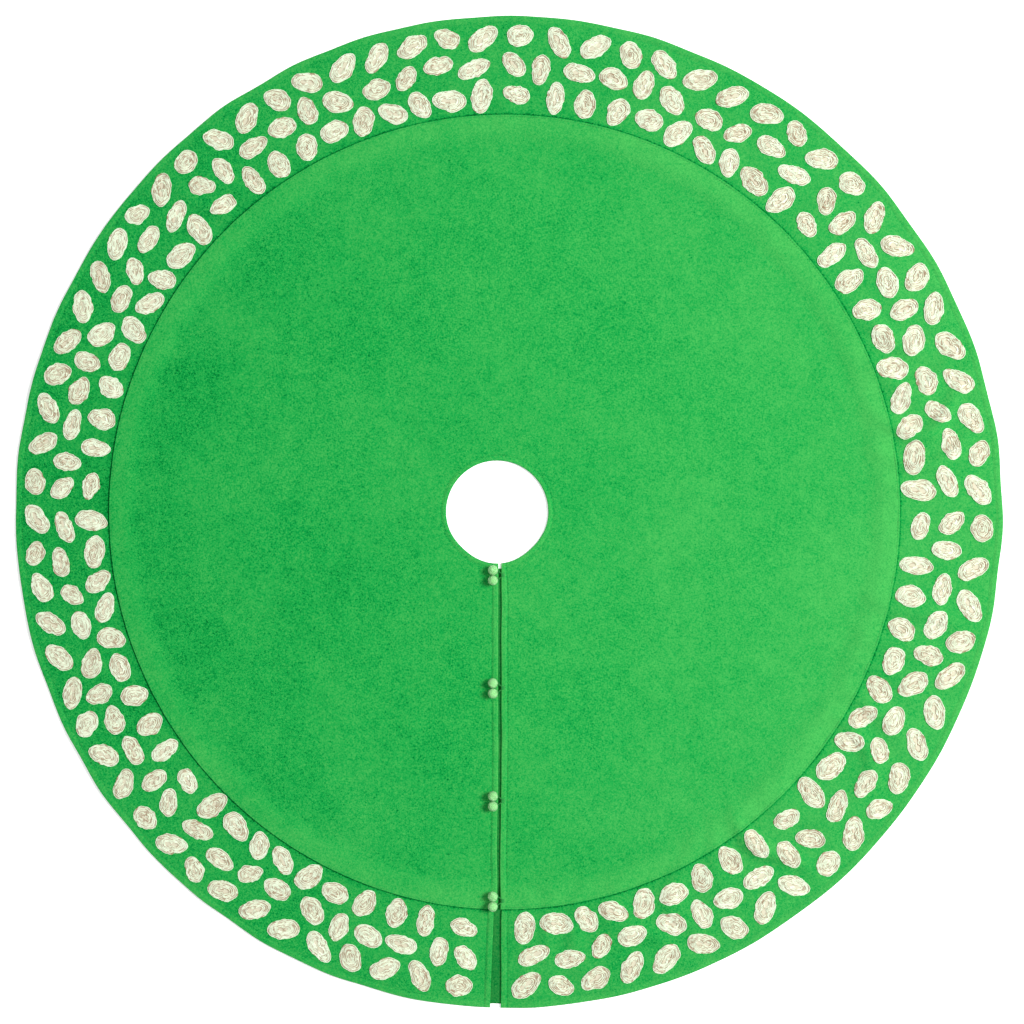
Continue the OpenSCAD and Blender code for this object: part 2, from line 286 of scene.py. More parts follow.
class Nodes:
    """Builds one material's node tree."""

    def __init__(self, name):
        self.material = bpy.data.materials.new(name)
        self.material.use_nodes = True
        self.tree = self.material.node_tree
        self.tree.nodes.clear()

    def add(self, kind, **settings):
        n = self.tree.nodes.new(kind)
        for key, value in settings.items():
            setattr(n, key, value)
        return n

    def link(self, a, b):
        self.tree.links.new(a, b)

    def place(self):
        """Where the point lies with the skirt flat, so that a pattern stays with the cloth."""
        return self.add("ShaderNodeAttribute", attribute_name="rest").outputs["Vector"]

    def tone(self):
        """The tone kept on the mesh, which holds the threads' own shades and also painted highlight and painted
        shade.
        """
        return self.add("ShaderNodeAttribute", attribute_name="tone").outputs["Fac"]

    def noise(self, vector, scale, detail=2.0, rough=0.5, distortion=0.0):
        n = self.add("ShaderNodeTexNoise")
        self.link(vector, n.inputs["Vector"])
        n.inputs["Scale"].default_value = scale
        n.inputs["Detail"].default_value = detail
        n.inputs["Roughness"].default_value = rough
        n.inputs["Distortion"].default_value = distortion
        return n.outputs["Fac"]

    def math(self, operation, a, b=0.0, c=0.0):
        n = self.add("ShaderNodeMath", operation=operation)
        for socket, value in zip(n.inputs, (a, b, c)):
            if isinstance(value, (int, float)):
                socket.default_value = value
            else:
                self.link(value, socket)
        return n.outputs[0]

    def weigh(self, start, *pairs):
        """start plus each (value, weight), where a value of a half adds nothing."""
        total = start - 0.5 * sum(weight for _, weight in pairs)
        for value, weight in pairs:
            total = self.math("MULTIPLY_ADD", value, weight, total)
        return total

    def ramp(self, fac, *stops):
        n = self.add("ShaderNodeValToRGB")
        self.link(fac, n.inputs["Fac"])
        ramp = n.color_ramp
        while len(ramp.elements) < len(stops):
            ramp.elements.new(0.5)
        for element, (at, colour) in zip(ramp.elements, stops):
            element.position = at
            element.color = (*colour, 1)
        return n.outputs["Color"]

    def finish(self, colour, height, bump, distance, rough, gloss=0.06, sheen=0.2,
               sheen_tint=(1, 1, 1), glow=0.0):
        """A matt surface with a bump and a sheen. glow is light that scatters under it."""
        p = self.add("ShaderNodeBsdfPrincipled")
        out = self.add("ShaderNodeOutputMaterial")
        self.link(colour, p.inputs["Base Color"])
        p.inputs["Roughness"].default_value = rough
        p.inputs["Specular IOR Level"].default_value = gloss
        p.inputs["Subsurface Weight"].default_value = glow
        p.inputs["Subsurface Radius"].default_value = (1, 1, 1)
        p.inputs["Subsurface Scale"].default_value = 5 * MM
        p.inputs["Sheen Weight"].default_value = sheen
        p.inputs["Sheen Roughness"].default_value = 0.55
        p.inputs["Sheen Tint"].default_value = (*sheen_tint, 1)
        b = self.add("ShaderNodeBump")
        b.inputs["Strength"].default_value = bump
        b.inputs["Distance"].default_value = distance
        self.link(height, b.inputs["Height"])
        self.link(b.outputs["Normal"], p.inputs["Normal"])
        self.link(p.outputs[0], out.inputs["Surface"])
        return self.material


def scaled(colour, k):
    """A colour k times as bright."""
    return tuple(min(c * k, 1) for c in colour)


def felt(name, shade=1.0):
    """Pressed wool between a deep and a light shade: clouds, blotches, fibre flecks, and painted light
    that makes it lighter to the right. Turned edges carry painted highlight and grooves painted shade,
    by the tone kept on the mesh."""
    deep, mid, light = (scaled(green, shade) for green in (DEEP_GREEN, MID_GREEN, LIGHT_GREEN))
    n = Nodes(name)
    at = n.place()
    split = n.add("ShaderNodeSeparateXYZ")
    n.link(at, split.inputs[0])
    # painted light: the felt grows lighter to the right, where the key light stands
    painted_light_across = n.math("MULTIPLY_ADD", split.outputs["X"], PAINTED_LIGHT_RISE, 0.5)
    cloud = n.noise(at, 5.5, 3, 0.55, 0.3)
    blotch = n.noise(at, 38, 3, 0.6, 0.4)
    fleck = n.noise(at, 400, 4, 0.75, 0.5)
    fibre = n.noise(at, 1300, 2, 0.6, 2.0)
    factor = n.weigh(0.5, (painted_light_across, 1.0), (cloud, 0.45), (blotch, 0.35), (fleck, 2.3), (fibre, 1.3),
                     (n.tone(), 1.0))
    # the stops below deep and above light are reached mostly through the painted shade and painted highlight
    colour = n.ramp(factor, (0.0, scaled(deep, 0.3)), (0.3, deep), (0.5, mid), (0.72, light),
                    (1.0, scaled(light, 1.25)))
    height = n.weigh(0.5, (fleck, 0.7), (fibre, 0.3))
    return n.finish(colour, height, bump=0.7, distance=0.6 * MM, rough=0.97, gloss=0.02,
                    sheen=0.03, sheen_tint=scaled(light, 2.2))


def yarn(name, *stops, grain=0.25, sheen=0.15, glow=0.0):
    """Cotton or wool thread whose shade comes from the tone kept on the mesh."""
    n = Nodes(name)
    at = n.place()
    flecks = n.noise(at, 900, 2, 0.6, 0.5)
    tone = n.math("ADD", n.tone(), n.math("MULTIPLY", n.math("SUBTRACT", flecks, 0.5), grain))
    colour = n.ramp(tone, *stops)
    return n.finish(colour, flecks, bump=0.35, distance=0.25 * MM, rough=0.9, sheen=sheen,
                    glow=glow)


PAINTED_LIGHT_RISE = 0.20                   # painted light: the felt is painted this much lighter a metre to the right
DEEP_GREEN = (0.001, 0.287, 0.047)
MID_GREEN = (0.014, 0.317, 0.058)
LIGHT_GREEN = (0.047, 0.335, 0.068)
PANEL_FELT = felt("panel_felt")
BAND_FELT = felt("band_felt", 0.95)
LINING_FELT = felt("lining_felt", 0.85)
# painted shade: the underlap is a darker copy of the felt, standing for the shade in the slit's gap
UNDERLAP_SHADED_FELT = felt("underlap_felt", 0.58)
GREEN_THREAD = yarn("green_thread", (0.2, (0.004, 0.22, 0.038)), (0.8, (0.025, 0.30, 0.056)))
CORD = yarn("green_cord", (0.2, (0.006, 0.2, 0.035)), (0.8, (0.03, 0.28, 0.055)))
CREAM_THREAD = yarn(
    "cream_thread", (0.0, (0.39, 0.28, 0.18)), (0.25, (0.54, 0.50, 0.36)),
    (0.5, (0.68, 0.76, 0.57)), (0.85, (0.82, 0.93, 0.74)), grain=0.4)
PAD_THREAD = yarn("pad_thread", (0.2, (0.50, 0.46, 0.34)), (0.8, (0.62, 0.61, 0.47)))
MINT = yarn("mint_wool", (0.1, (0.21, 0.53, 0.19)), (0.5, (0.27, 0.64, 0.25)),
            (0.9, (0.34, 0.72, 0.31)), grain=0.5, sheen=0.25, glow=0.6)

# ---------------------------------------------------------------- where the cloth's columns run

FLAP_REACH = 82 * MM         # the flap's own mesh runs this far from the slit
EDGE_STEPS = np.concatenate([
    np.array([0, 0.35, 0.9, 1.6, 2.6, 3.8]) * MM,
    TURN_W + np.array([-2.6, -1.4, -0.5, 0.3, 1, 1.8, 2.6, 3.6, 5, 7.5, 10.5]) * MM])
SLIT_WAVE = 0.35 * MM        # the hand-cut slit edges wander this much
SLIT_DRIFT = 1.8 * MM        # and the panel's drift to the left on the way to the seam
DRIFT_FROM, DRIFT_TO = 0.40, 0.52


class Cut:
    """Where a sheet's slit edges run, and how far its columns beside the slit stand from them."""

    def __init__(self, x_inner, x_seam, x_hem, left_steps, right_steps, drift=0.0, wave=SLIT_WAVE):
        self.x_inner, self.x_seam, self.x_hem = x_inner, x_seam, x_hem
        self.steps = {-1: left_steps, 1: right_steps}
        self.drift, self.wave = drift, wave

    def edge(self, side, r):
        """X of the slit's left (-1) or right (1) edge at each radius."""
        k = 0 if side < 0 else 1
        out = np.clip((r - SEAM_R) / (HEM_R - SEAM_R), 0, 1)
        step = smooth(SEAM_R - 2 * MM, SEAM_R, r)
        x = self.x_inner[k] + (self.x_seam[k] - self.x_inner[k]) * step
        x = x + (self.x_hem[k] - self.x_seam[k]) * out
        x = x - self.drift * smooth(DRIFT_FROM, DRIFT_TO, r)
        return x + side * self.wave * np.maximum(1 + waves(r, 0 * r, 0.09, 60 + side), 0)

    def beside(self, side, r):
        """(x, y, distance from the edge) of the columns beside the slit, one row a column."""
        steps = self.steps[side][:, None]
        squeeze = 0.75 + 0.25 * smooth(NECK_R, NECK_R + 45 * MM, r) if side > 0 else 1.0
        x = self.edge(side, r)[None] + side * steps * squeeze
        y = -np.sqrt(np.maximum(r[None] ** 2 - x**2, 0))
        return x, y, np.broadcast_to(steps, x.shape)

    def columns(self, r, count):
        """The flap's grid and the main grid, as (x, y, distance from the edge)."""
        fx, fy, fd = self.beside(1, r)
        lx, ly, ld = (part[::-1] for part in self.beside(-1, r))
        a0, a1 = np.arctan2(fy[-1], fx[-1]), np.arctan2(ly[0], lx[0]) + 2 * math.pi
        a = a0[None] + column_shares(count)[:, None] * (a1 - a0)[None]
        far = np.full(a.shape, 1.0)
        main = (np.vstack([r[None] * np.cos(a), lx[1:]]), np.vstack([r[None] * np.sin(a), ly[1:]]),
                np.vstack([far, ld[1:]]))
        return (fx, fy, fd), main


def column_shares(count):
    """Shares of the way round, closer together where the skirt folds in half."""
    a = np.linspace(0, 1, 4001)
    turn = -90 + 8 + a * (360 - 12)
    weight = 1 + 2.2 * (np.exp(-((turn / 3) ** 2)) + np.exp(-(((turn - 180) / 3) ** 2)))
    total = np.concatenate([[0], np.cumsum(0.5 * (weight[1:] + weight[:-1]))])
    return np.interp(np.linspace(0, total[-1], count), total, a)


def loft(upper, lower, ends):
    """Faces round a closed sheet whose columns run over the top and back underneath."""
    cols, n = upper.shape[0], upper.shape[1] + lower.shape[1]
    faces = grid_faces(cols, n, close_cols=True)
    k = np.arange(n // 2 - 1)
    cap = np.stack([k, k + 1, n - 2 - k, n - 1 - k], 1)
    if ends[0]:
        faces = np.vstack([faces, cap])
    if ends[1]:
        faces = np.vstack([faces, cap[:, ::-1] + (cols - 1) * n])
    return faces[:, [0, 3, 2, 1]]     # turned over, so that they face outwards


def sheet(name, grid, r, profile, material, ends):
    """A felt sheet over a grid of columns. profile(r, slit_distance) gives (top, bottom, tone).
    ends says which of its two end columns are cut edges; the other meets the next sheet."""
    x, y, d = grid
    top, bottom, tone = profile(np.broadcast_to(r[None], x.shape), d)
    top = top + lumps(x, y, 31) * smooth(0, 3 * MM, np.minimum(d, 1.0))
    upper = np.stack(drape(x, y, top), -1)
    lower = np.stack(drape(x, y, bottom), -1)[:, ::-1]
    rest = np.concatenate([np.stack([x, y, top], -1), np.stack([x, y, bottom], -1)[:, ::-1]], 1)
    tones = np.concatenate([tone, np.full_like(tone, 0.5)], 1)
    return build(name, np.concatenate([upper, lower], 1).reshape(-1, 3), loft(upper, lower, ends),
                 material, rest=rest.reshape(-1, 3), tone=tones.ravel())


# ---------------------------------------------------------------- the felt layers


EDGE_ROUND = 1.1 * MM        # the felt's cut and turned edges are rounded this much


def rise(d, width):
    """The height of a turned edge at a distance from it."""
    return TURN_RISE * (1 - smooth(width - 1.3 * MM, width + 0.7 * MM, d))


def groove(d, at, depth=0.5 * MM):
    """How far a row of stitches pulls the felt down."""
    return -depth * line(d, at, 0.9 * MM)


def turned(d, width):
    """One over a turned edge, nothing beyond it."""
    return 1 - smooth(width - 1 * MM, width + 1.5 * MM, d)


def panel_profile(r, d):
    """Turned up at the neck and the slit, and lapped over the band from the rim's foot out."""
    rim = smooth(RIM_FOOT_R - 14 * MM, RIM_IN_R + 6 * MM, r)
    from_neck = r - NECK_R
    top = TOP_Z + (RIM_Z - TOP_Z) * rim
    top = top + np.maximum(rise(d, TURN_W), rise(from_neck, NECK_TURN_W)) * (1 - rim)
    top = top + groove(d, SLIT_GROOVE) * (1 - rim) + groove(from_neck, NECK_GROOVE, 0.3 * MM)
    top = top + groove(SEAM_R - r, SEAM_GROOVE, 0.25 * MM)
    bottom = FELT_Z + (TOP_Z + LAYER_GAP - FELT_Z) * smooth(RIM_FOOT_R + 3 * MM, BAND_IN_R - MM, r)
    near = np.minimum(np.minimum(d, from_neck), SEAM_R - r)
    drop = rounding(np.maximum(near, 0), EDGE_ROUND)
    # painted highlight: the raised rim, the turned edges and the slit's very edge are painted lighter
    light = 0.15 * rim + 0.1 * turned(d, TURN_W) + 0.1 * turned(from_neck, NECK_TURN_W)
    light = light + 0.12 * turned(d, 2 * MM)
    # painted shade in the stitch grooves and along the seam, and a thin darker line along the neck's edge
    dark = 0.14 * line(d, SLIT_GROOVE, 1 * MM) + 0.08 * line(from_neck, NECK_GROOVE, 1 * MM)
    dark = dark + 0.35 * line(r, SEAM_R, 1.0 * MM) + 0.25 * line(from_neck, 0, 0.8 * MM)
    return top - drop, bottom + drop, 0.5 + light - dark


def band_profile(r, d):
    """Turned up at the hem and the slit, with painted highlight on the turned edges and painted shade under the
    panel's edge.
    """
    from_hem = HEM_R - r
    beyond = smooth(SEAM_R, SEAM_R + 6 * MM, r)
    top = TOP_Z + np.maximum(rise(d, TURN_W), 0.7 * rise(from_hem, TURN_W)) * beyond
    top = top + (groove(d, SLIT_GROOVE) + groove(from_hem, HEM_GROOVE, 0.3 * MM)) * (r > SEAM_R)
    drop = rounding(np.maximum(np.minimum(d, from_hem), 0), EDGE_ROUND)
    by_hem = 1 - smooth(TURN_W - 4 * MM, TURN_W + 8 * MM, from_hem)
    # painted highlight on the turned edges at the slit and the hem
    light = 0.1 * turned(d, TURN_W) + 0.14 * by_hem
    # painted shade in the stitch grooves and under the panel's edge, along the seam
    dark = 0.14 * line(d, SLIT_GROOVE, 1 * MM) + 0.08 * line(from_hem, HEM_GROOVE, 1 * MM)
    dark = dark + 0.4 * line(r, SEAM_R + 0.3 * MM, 1.8 * MM) + 0.1 * line(r, SEAM_R, 7 * MM)
    return top - drop, np.full_like(top, FELT_Z) + drop, 0.5 + light * beyond - dark


def lining_profile(r, _):
    """Flat, with rounded edges."""
    drop = rounding(np.maximum(np.minimum(LINING_R - r, r - NECK_R), 0), 0.4 * MM)
    return LINING_Z - drop, 0 * r + drop, np.full_like(drop, 0.5)


def spread(*stops):
    """Radii from the first number on, through pairs of (end, step)."""
    out = [stops[0]]
    for end, step in stops[1:]:
        n = max(1, round((end - out[-1]) / step))
        out.extend(np.linspace(out[-1], end, n + 1)[1:])
    return np.array(out)


PANEL_ROWS = spread(
    NECK_R, (NECK_R + 1.2 * MM, 0.4 * MM), (NECK_R + 5 * MM, 1.9 * MM),
    (NECK_R + 10.6 * MM, 0.8 * MM), (NECK_R + 16 * MM, 2.7 * MM),
    (RIM_FOOT_R - 14 * MM, 11 * MM), (RIM_IN_R + 6 * MM, 3 * MM),
    (SEAM_R - 5 * MM, 5 * MM), (SEAM_R - 1.2 * MM, 0.8 * MM), (SEAM_R, 0.4 * MM))
BAND_ROWS = spread(
    BAND_IN_R, (SEAM_R - 2 * MM, 10 * MM), (SEAM_R + 5 * MM, 1 * MM),
    (HEM_R - TURN_W - 6 * MM, 5 * MM), (HEM_R - TURN_W + 2 * MM, 0.9 * MM),
    (HEM_R - 1.2 * MM, 1.7 * MM), (HEM_R, 0.4 * MM))
LINING_ROWS = spread(NECK_R, (NECK_R + 0.6 * MM, 0.3 * MM), (LINING_R - 0.6 * MM, 14 * MM),
                     (LINING_R, 0.3 * MM))
UNDER_LOW, UNDER_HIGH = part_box("underlap")
LEFT_STEPS = np.concatenate([EDGE_STEPS, [25 * MM, 30 * MM]])
RIGHT_STEPS = np.concatenate([EDGE_STEPS, np.arange(21.5, 64, 2.6) * MM,
                              np.arange(67, 82, 5) * MM, [FLAP_REACH]])
INNER_X = (LEFT_X, RIGHT_X)
PANEL_CUT = Cut(INNER_X, INNER_X, INNER_X, LEFT_STEPS, RIGHT_STEPS, SLIT_DRIFT)
BAND_CUT = Cut(INNER_X, (LEFT_BAND_X, RIGHT_X), (LEFT_HEM_X, RIGHT_HEM_X), LEFT_STEPS,
               RIGHT_STEPS)
LINING_GAP = 1.5 * MM        # the lining stops this far beside the underlap
LINING_X = (UNDER_LOW.x - LINING_GAP, UNDER_HIGH.x + LINING_GAP)
LINING_CUT = Cut(
    LINING_X, LINING_X, LINING_X, np.array([0, 4, 12]) * MM,
    np.concatenate([np.arange(0, 44, 2.6) * MM, [50 * MM, FLAP_REACH - 21 * MM]]), wave=0.0)


def cloth(name, cut, r, count, profile, material, nodes):
    """A felt layer as a main sheet and a flap sheet that share their border's vertices."""
    flap_grid, main_grid = cut.columns(r, count)
    main = sheet(name, main_grid, r, profile, material, (False, True))
    flap = sheet(name + "_by_slit", flap_grid, r, profile, material, (True, False))
    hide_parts(nodes + "_back", nodes + "_front")
    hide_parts(nodes + "_flap")
    bend_half(main)
    bend_flap(flap)


def bend_half(obj):
    """Bakes a piece's place into its mesh."""
    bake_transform(obj)


def bend_flap(obj):
    """Bakes a piece's place into its mesh."""
    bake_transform(obj)


UNDERLAP_COLS, UNDERLAP_ROWS = 25, 221


def underlap():
    """The strip of felt behind the slit."""
    xs = np.linspace(UNDER_LOW.x, UNDER_HIGH.x, UNDERLAP_COLS)
    ys = np.linspace(UNDER_HIGH.y, UNDER_LOW.y, UNDERLAP_ROWS)
    x, y = np.meshgrid(xs, ys, indexing="ij")
    drop = rounding(np.minimum(x - xs[0], xs[-1] - x), 0.5 * MM)
    top = np.minimum(UNDER_HIGH.z - drop + lumps(x, y, 71) * 0.5, UNDER_HIGH.z)
    upper = np.stack(drape(x, y, top), -1)
    lower = np.stack(drape(x, y, UNDER_LOW.z + drop), -1)[:, ::-1]
    faces = loft(upper, lower, (True, True))
    verts = np.concatenate([upper, lower], 1).reshape(-1, 3)
    obj = build("underlap_strip", verts, faces, UNDERLAP_SHADED_FELT,
                tone=np.full(len(verts), 0.5))
    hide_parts("underlap")
    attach(obj, "front_half")


cloth("panel", PANEL_CUT, PANEL_ROWS, 560, panel_profile, PANEL_FELT, "panel")
cloth("border_band", BAND_CUT, BAND_ROWS, 760, band_profile, BAND_FELT, "band")
cloth("lining", LINING_CUT, LINING_ROWS, 340, lining_profile, LINING_FELT, "lining")
underlap()

# ---------------------------------------------------------------- topstitching

STITCH, STITCH_GAP, STITCH_THREAD = 3.3 * MM, 1.1 * MM, 0.34 * MM
SUNK = 0.5 * MM              # the stitches lie this deep in their grooves
RING_END = 1.5 * MM          # a ring of stitches stops this far from the slit's edges


def stitch_row(soup, path, z):
    """Separate stitches along a path of (x, y) points: each dips into the felt at its ends."""
    step = np.concatenate([[0], np.cumsum(np.linalg.norm(np.diff(path, axis=0), axis=1))])
    t = np.linspace(0, 1, 5)
    bow = np.array([-0.5, 0.1, 0.2, 0.1, -0.5]) * MM
    for start in np.arange(int(step[-1] / (STITCH + STITCH_GAP))) * (STITCH + STITCH_GAP):
        along = start + t * STITCH
        x, y = np.interp(along, step, path[:, 0]), np.interp(along, step, path[:, 1])
        soup.tube(np.stack(drape(x, y, z + bow), 1), STITCH_THREAD, sides=5,
                  tone=0.35 + 0.5 * RNG.random())


def arc(radius, a0, a1):
    """Points (x, y) round the centre, between two angles in degrees."""
    a = np.radians(np.linspace(a0, a1, max(8, int(abs(a1 - a0) * radius * 12))))
    return np.stack([radius * np.cos(a), radius * np.sin(a)], 1)


def slit_angle(side, r, off):
    """Angle in degrees of the point beside the slit at radius r and offset off."""
    cut = BAND_CUT if r > SEAM_R else PANEL_CUT
    x = float(cut.edge(side, np.array([r]))[0]) + side * off
    return math.degrees(math.atan2(-math.sqrt(r * r - x * x), x))


def stitching(ring, r, z, node):
    """A ring of topstitching, its share beside the slit as a piece of its own."""
    main, flap = Soup(), Soup()
    first = slit_angle(1, r, RING_END)
    join = slit_angle(1, r, FLAP_REACH * (0.75 if r < NECK_R + 20 * MM else 1))
    last = slit_angle(-1, r, RING_END) + 360
    stitch_row(flap, arc(r, first, join), z)
    stitch_row(main, arc(r, join, last), z)
    obj = main.mesh(ring, GREEN_THREAD, "thread_green")
    by_slit = flap.mesh(ring + "_by_slit", GREEN_THREAD, "thread_green")
    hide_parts(node + "_back", node + "_front")
    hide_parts(node + "_flap")
    bend_half(obj)
    bend_flap(by_slit)


def slit_stitching(side, name, node, body):
    """The rows of topstitching beside one edge of the slit, on the panel and on the band."""
    soup = Soup()
    for cut, r0, r1 in ((PANEL_CUT, NECK_R + 11 * MM, RIM_FOOT_R - 18 * MM),
                        (BAND_CUT, SEAM_R + 4 * MM, HEM_R - TURN_W - 5 * MM)):
        r = np.linspace(r0, r1, 200)
        x = cut.edge(side, r) + side * SLIT_GROOVE
        stitch_row(soup, np.stack([x, -np.sqrt(r**2 - x**2)], 1), TOP_Z - SUNK)
    obj = soup.mesh(name, GREEN_THREAD, "thread_green")
    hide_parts(node)
    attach(obj, body)


stitching("neck_topstitch", NECK_R + NECK_GROOVE, TOP_Z - SUNK, "neck_stitch")
stitching("seam_topstitch", SEAM_R - SEAM_GROOVE, RIM_Z - 0.2 * MM, "seam_stitch")
stitching("hem_topstitch", HEM_R - HEM_GROOVE, TOP_Z - SUNK, "hem_stitch")
slit_stitching(-1, "left_slit_topstitch", "slit_stitch_left", "front_half")
slit_stitching(1, "right_slit_topstitch", "slit_stitch_right", "slit_flap")

# ---------------------------------------------------------------- embroidered ovals


def islands(node):
    """The separate solids of a CAD node, as arrays of points."""
    mesh = frame["nodes"][node].data
    keys = np.round(cad_points(node) / (0.01 * MM)).astype(np.int64)
    uniq, index = np.unique(keys, axis=0, return_inverse=True)
    edges = np.zeros(len(mesh.edges) * 2, np.int32)
    mesh.edges.foreach_get("vertices", edges)
    edges = index.ravel()[edges.reshape(-1, 2)]
    label = np.arange(len(uniq))
    while True:
        low = np.minimum(label[edges[:, 0]], label[edges[:, 1]])
        new = label.copy()
        np.minimum.at(new, edges[:, 0], low)
        np.minimum.at(new, edges[:, 1], low)
        new = new[new]
        if (new == label).all():
            break
        label = new
    points = uniq * 0.01 * MM
    return [points[label == k] for k in np.unique(label)]


def on_fold_line(p):
    """Whether an oval's share ends on a line where the skirt folds."""
    half = np.any(np.abs(p[:, 1]) < 0.12 * MM)
    return half or (p[:, 1].mean() < 0 and np.any(np.abs(p[:, 0] - FLAP.x) < 0.07 * MM))


def outlines():
    """Each oval's points in the plane. Shares cut by a fold line are joined again."""
    found = [np.unique(np.round(points[:, :2], 6), axis=0)
             for node in ("ovals_back", "ovals_front", "ovals_flap") for points in islands(node)]
    cut = [on_fold_line(p) for p in found]
    out, used = [], set()
    for i, p in enumerate(found):
        if i in used:
            continue
        for j in range(i + 1, len(found)):
            if not (cut[i] and cut[j]) or j in used:
                continue
            if np.linalg.norm(p[:, None] - found[j][None], axis=-1).min() < 0.4 * MM:
                p = np.vstack([p, found[j]])
                used.add(j)
        out.append(p)
    return out


def polar_outline(points):
    """Centre of an oval's outline, even angles, and the radius at each."""
    centre = (points.min(0) + points.max(0)) / 2
    d = points - centre
    a = np.arctan2(d[:, 1], d[:, 0])
    order = np.argsort(a)
    q = np.linspace(-math.pi, math.pi, 96, endpoint=False)
    r = np.interp(q, a[order], np.linalg.norm(d, axis=1)[order], period=2 * math.pi)
    near = (np.roll(r, 2) + 2 * np.roll(r, 1) + 3 * r + 2 * np.roll(r, -1) + np.roll(r, -2)) / 9
    return centre, q, near


def handmade(q, r, rng):
    """An oval's radii as a hand stitches them: one end sharper, and small flats and bumps."""
    tip = q[np.argmax(r)] + (math.pi if rng.random() < 0.5 else 0)
    toward = np.cos(q - tip)
    r = r * (1 + rng.uniform(-0.02, 0.10) * np.maximum(toward, 0) ** 6
             - rng.uniform(0.0, 0.07) * np.maximum(toward, 0) * (1 - toward**4) * 2)
    for k in (3, 4, 5, 7, 9):
        r = r + rng.uniform(0.1, 0.42) * MM * np.sin(k * q + rng.uniform(0, 2 * math.pi))
    return r


def resample(points, n):
    """n even points round a closed outline, and its length."""
    closed = np.vstack([points, points[:1]])
    s = np.concatenate([[0], np.cumsum(np.linalg.norm(np.diff(closed, axis=0), axis=1))])
    t = np.linspace(0, s[-1], n, endpoint=False)
    return np.stack([np.interp(t, s, closed[:, 0]), np.interp(t, s, closed[:, 1])], 1), s[-1]


def sideways(ring):
    """Unit normals of a closed outline, in its plane."""
    along = unit(np.roll(ring, -1, 0) - np.roll(ring, 1, 0))
    return np.stack([-along[:, 1], along[:, 0]], 1)


ROW = 2.75 * MM              # from one row of chain stitch to the next
LINK = 4.6 * MM              # length of a chain stitch
LINK_POINTS = 4
YARN = 0.54 * MM             # radius of a strand
PAD_INSET = 0.9 * MM         # the ground stops this far inside the outline
PAD_RINGS = ((0.25, 1.2), (0.6, 1.1), (0.9, 0.65), (0.99, 0.25), (1.0, -0.3))  # share, height
PAD_TOP = 1.2 * MM


def dashes(n, dark_share, rng):
    """Tones along a strand of n points: light and dark dashes of uneven length."""
    which = np.searchsorted(np.cumsum(rng.integers(2, 7, n)), np.arange(n), side="right")
    dark = rng.random(n + 1) < dark_share
    return np.where(dark, rng.uniform(-0.8, -0.35, n + 1), rng.uniform(-0.12, 0.2, n + 1))[which]


def chain_row(soup, ring, height, tone, rng):
    """One closed row of chain stitch: two strands that part and meet in every link."""
    _, length = resample(ring, 96)
    links = max(3, round(length / LINK))
    n = links * LINK_POINTS
    ring, _ = resample(ring, n)
    turn = np.arange(n) / n
    phase = rng.uniform()
    wander = 0.4 * MM * np.sin(2 * math.pi * turn * rng.integers(2, 6) + rng.uniform(0, 6))
    swell = np.abs(np.sin(math.pi * (turn * links + phase)))
    shade = tone + 0.05 * np.sin(2 * math.pi * turn * rng.integers(1, 4) + rng.uniform(0, 6))
    # painted shade: the strands are painted darker where they meet at each link's ends
    shade = shade - 0.12 * (1 - swell)
    normal = sideways(ring)
    for strand in (-1, 1):
        side = wander + strand * (0.32 + 0.44 * swell) * MM
        place = ring + normal * side[:, None]
        z = TOP_Z + height + (0.75 + 0.3 * swell + 0.12 * strand) * MM
        path = np.column_stack(drape(place[:, 0], place[:, 1], z))
        soup.tube(path, YARN, sides=4, closed=True,
                  tone=shade + dashes(n, 0.36 + 0.24 * strand, rng))


def embroider(soup, pad, points, rng):
    """Rows of chain stitch, each inside the last from an oval's outline, over a padded ground."""
    centre, q, r = polar_outline(points)
    r = handmade(q, r, rng)
    low, high = r.min(), r.max()
    bright = rng.uniform(-0.1, 0.06)
    rows = int(low / ROW)
    for k in range(rows + 1):
        off = ROW * (k + 0.5)
        shrink = np.maximum(r - off * (1 + 0.12 * smooth(low, high, r)), 0.35 * MM)
        if k == rows and low - off < 0.3 * MM:
            shrink = np.maximum(r - low * 0.93, 0.3 * MM)
        ring = centre + np.stack([shrink * np.cos(q), shrink * np.sin(q)], 1)
        tone = rng.uniform(0.7, 0.84) + bright
        chain_row(soup, ring, 0.55 * MM * min(1, k / 2.5), tone, rng)
    rings = []
    for share, height in PAD_RINGS:
        m = ((r - PAD_INSET) * share)[::3]
        x, y = centre[0] + m * np.cos(q[::3]), centre[1] + m * np.sin(q[::3])
        rings.append(np.stack(drape(x, y, TOP_Z + height * MM), 1))
    n = len(rings[0])
    faces = grid_faces(len(rings), n, close_cols=True)
    k = np.arange(n)
    middle = len(rings) * n
    top = [[*centre, TOP_Z + PAD_TOP + lifted(*centre)]]
    fan = np.stack([k, (k + 1) % n, np.full(n, middle), np.full(n, middle)], 1)
    pad.add(np.vstack([*rings, top]), np.vstack([faces, fan]), 0.5)


def by_the_slit(x, y):
    """Whether a point of the band belongs to the flap's mesh."""
    return y < -0.3 and 0 < x < FLAP.x + 38 * MM


SHARE_DEG = 30               # a share of the ovals, so that no mesh is too large


